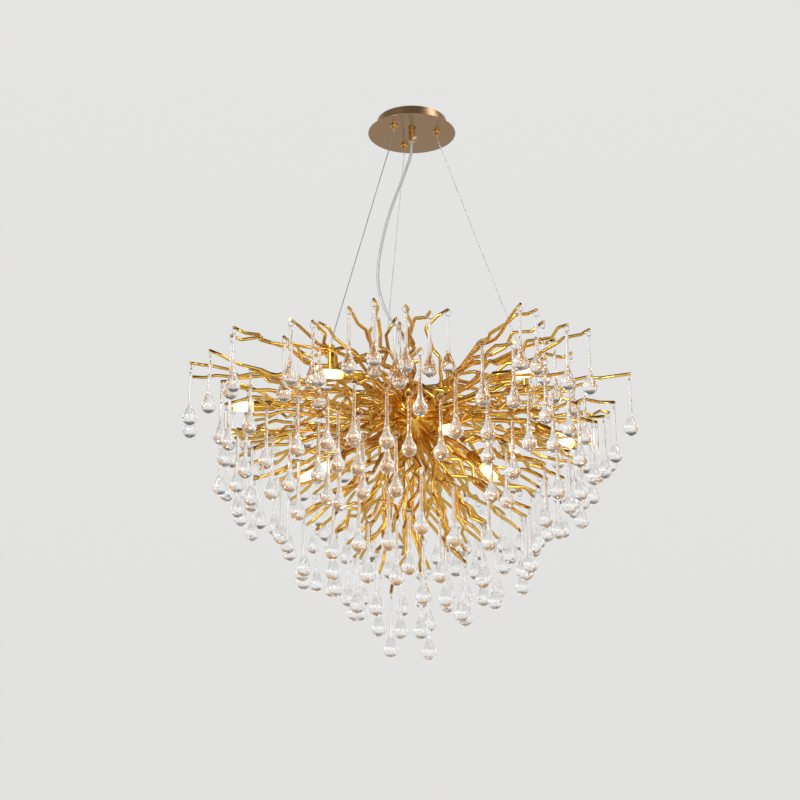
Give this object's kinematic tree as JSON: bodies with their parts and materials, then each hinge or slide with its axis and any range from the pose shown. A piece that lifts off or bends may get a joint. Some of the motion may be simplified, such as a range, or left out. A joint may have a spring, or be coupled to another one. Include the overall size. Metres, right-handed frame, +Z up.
{
  "type": "crystal chandelier",
  "caption": "Hanging chandelier: a burst of crooked gold branches round a hub, each twig carrying a clear teardrop, with lamps between them, hung on steel wires from a round canopy.",
  "frame": {"origin": "middle of the ceiling bracket's upper face, on the ceiling plane", "axes": "+Z up into the ceiling; the viewer's side is -Y, +X is to the viewer's right"},
  "size_m": [0.8046, 0.8103, 1.0275],
  "materials": {
    "gold": "polished gold plating",
    "canopy_gold": "brushed champagne gold",
    "fitting_brass": "turned, bright",
    "steel_wire": "bright drawn wire",
    "zinc_steel": "zinc plated sheet",
    "clear_glass": "clear, fire polished",
    "lamp_glass": "frosted, glowing warm white",
    "white_ceramic": "glazed white",
    "white_nylon": "moulded white",
    "cord_jacket": "clear jacket over silver braid"
  },
  "bodies": {
    "fixture": {"bottom_branches": "gold", "bottom_drops": "clear_glass", "bottom_rings": "steel_wire", "canopy_cup": "canopy_gold", "canopy_nuts": "fitting_brass", "canopy_screws": "fitting_brass", "ceiling_bracket": "zinc_steel", "cord_gland": "fitting_brass", "gland_screw": "white_nylon", "hanger_arms": "gold", "hub_gland": "gold", "hub_lid": "gold", "hub_shell": "gold", "lamp_arms": "gold", "lamp_cups": "gold", "lamp_sockets": "white_ceramic", "lower_branches": "gold", "lower_drops": "clear_glass", "lower_rings": "steel_wire", "middle_branches": "gold", "middle_drops": "clear_glass", "middle_rings": "steel_wire", "post_caps": "gold", "power_cord": "cord_jacket", "rim_branches": "gold", "rim_drops": "clear_glass", "rim_rings": "steel_wire", "suspension_wire_1": "steel_wire", "suspension_wire_2": "steel_wire", "suspension_wire_3": "steel_wire", "terminal_block": "white_ceramic", "top_branches": "gold", "top_drops": "clear_glass", "top_rings": "steel_wire", "upper_branches": "gold", "upper_drops": "clear_glass", "upper_rings": "steel_wire", "wire_grips": "fitting_brass"},
    "bulb_01": {"bulb_01": "lamp_glass"},
    "bulb_02": {"bulb_02": "lamp_glass"},
    "bulb_03": {"bulb_03": "lamp_glass"},
    "bulb_04": {"bulb_04": "lamp_glass"},
    "bulb_05": {"bulb_05": "lamp_glass"},
    "bulb_06": {"bulb_06": "lamp_glass"},
    "bulb_07": {"bulb_07": "lamp_glass"},
    "bulb_08": {"bulb_08": "lamp_glass"},
    "bulb_09": {"bulb_09": "lamp_glass"},
    "bulb_10": {"bulb_10": "lamp_glass"},
    "grip_plunger_1": {"grip_plunger_1": "fitting_brass"},
    "grip_plunger_2": {"grip_plunger_2": "fitting_brass"},
    "grip_plunger_3": {"grip_plunger_3": "fitting_brass"},
    "swinging_drop_01": {"swinging_drop_01": "clear_glass"},
    "swinging_drop_02": {"swinging_drop_02": "clear_glass"},
    "swinging_drop_03": {"swinging_drop_03": "clear_glass"},
    "swinging_drop_04": {"swinging_drop_04": "clear_glass"},
    "swinging_drop_05": {"swinging_drop_05": "clear_glass"},
    "swinging_drop_06": {"swinging_drop_06": "clear_glass"},
    "swinging_drop_07": {"swinging_drop_07": "clear_glass"},
    "swinging_drop_08": {"swinging_drop_08": "clear_glass"}
  },
  "joints": [
    {"name": "bulb_01_pull", "type": "slide", "parent": "fixture", "child": "bulb_01", "axis": [-0.9992, -0.0174, -0.0349], "range_m": [0, 0.016]},
    {"name": "bulb_02_pull", "type": "slide", "parent": "fixture", "child": "bulb_02", "axis": [-0.9374, -0.3412, -0.0698], "range_m": [0, 0.016]},
    {"name": "bulb_03_pull", "type": "slide", "parent": "fixture", "child": "bulb_03", "axis": [-0.7006, -0.4045, -0.5878], "range_m": [0, 0.016]},
    {"name": "bulb_04_pull", "type": "slide", "parent": "fixture", "child": "bulb_04", "axis": [0.3023, -0.9303, -0.2079], "range_m": [0, 0.016]},
    {"name": "bulb_05_pull", "type": "slide", "parent": "fixture", "child": "bulb_05", "axis": [0.9776, -0.2078, 0.0349], "range_m": [0, 0.016]},
    {"name": "bulb_06_pull", "type": "slide", "parent": "fixture", "child": "bulb_06", "axis": [0.8648, -0.0453, -0.5], "range_m": [0, 0.016]},
    {"name": "bulb_07_pull", "type": "slide", "parent": "fixture", "child": "bulb_07", "axis": [0.5795, -0.3346, -0.7431], "range_m": [0, 0.016]},
    {"name": "bulb_08_pull", "type": "slide", "parent": "fixture", "child": "bulb_08", "axis": [0.0349, 0.9994, 0], "range_m": [0, 0.016]},
    {"name": "bulb_09_pull", "type": "slide", "parent": "fixture", "child": "bulb_09", "axis": [-0.7433, 0.6237, -0.2419], "range_m": [0, 0.016]},
    {"name": "bulb_10_pull", "type": "slide", "parent": "fixture", "child": "bulb_10", "axis": [0.6157, 0.788, 0], "range_m": [0, 0.016]},
    {"name": "grip_release_1", "type": "slide", "parent": "fixture", "child": "grip_plunger_1", "axis": [0, 0, 1], "range_m": [0, 0.003], "stiffness_N_per_m": 400, "springref_m": -0.002},
    {"name": "grip_release_2", "type": "slide", "parent": "fixture", "child": "grip_plunger_2", "axis": [0, 0, 1], "range_m": [0, 0.003], "stiffness_N_per_m": 400, "springref_m": -0.002},
    {"name": "grip_release_3", "type": "slide", "parent": "fixture", "child": "grip_plunger_3", "axis": [0, 0, 1], "range_m": [0, 0.003], "stiffness_N_per_m": 400, "springref_m": -0.002},
    {"name": "drop_01_swing", "type": "hinge", "parent": "fixture", "child": "swinging_drop_01", "pos_m": [-0.01233, -0.38722, -0.54617], "axis": [-0.9995, 0.0318, 0], "range_deg": [-12, 30]},
    {"name": "drop_02_swing", "type": "hinge", "parent": "fixture", "child": "swinging_drop_02", "pos_m": [0.25563, -0.30462, -0.54648], "axis": [-0.766, -0.6428, 0], "range_deg": [-12, 30]},
    {"name": "drop_03_swing", "type": "hinge", "parent": "fixture", "child": "swinging_drop_03", "pos_m": [0.29581, -0.26108, -0.5376], "axis": [-0.6617, -0.7498, 0], "range_deg": [-12, 30]},
    {"name": "drop_04_swing", "type": "hinge", "parent": "fixture", "child": "swinging_drop_04", "pos_m": [0.32464, 0.19615, -0.52436], "axis": [0.5171, -0.8559, 0], "range_deg": [-12, 30]},
    {"name": "drop_05_swing", "type": "hinge", "parent": "fixture", "child": "swinging_drop_05", "pos_m": [0.30456, 0.24135, -0.52671], "axis": [0.6211, -0.7837, 0], "range_deg": [-12, 30]},
    {"name": "drop_06_swing", "type": "hinge", "parent": "fixture", "child": "swinging_drop_06", "pos_m": [0.05204, 0.38792, -0.52767], "axis": [0.9911, -0.133, 0], "range_deg": [-12, 30]},
    {"name": "drop_07_swing", "type": "hinge", "parent": "fixture", "child": "swinging_drop_07", "pos_m": [-0.00497, 0.3941, -0.53868], "axis": [0.9999, 0.0126, 0], "range_deg": [-12, 30]},
    {"name": "drop_08_swing", "type": "hinge", "parent": "fixture", "child": "swinging_drop_08", "pos_m": [-0.29701, 0.2388, -0.52023], "axis": [0.6266, 0.7793, 0], "range_deg": [-12, 30]}
  ]
}
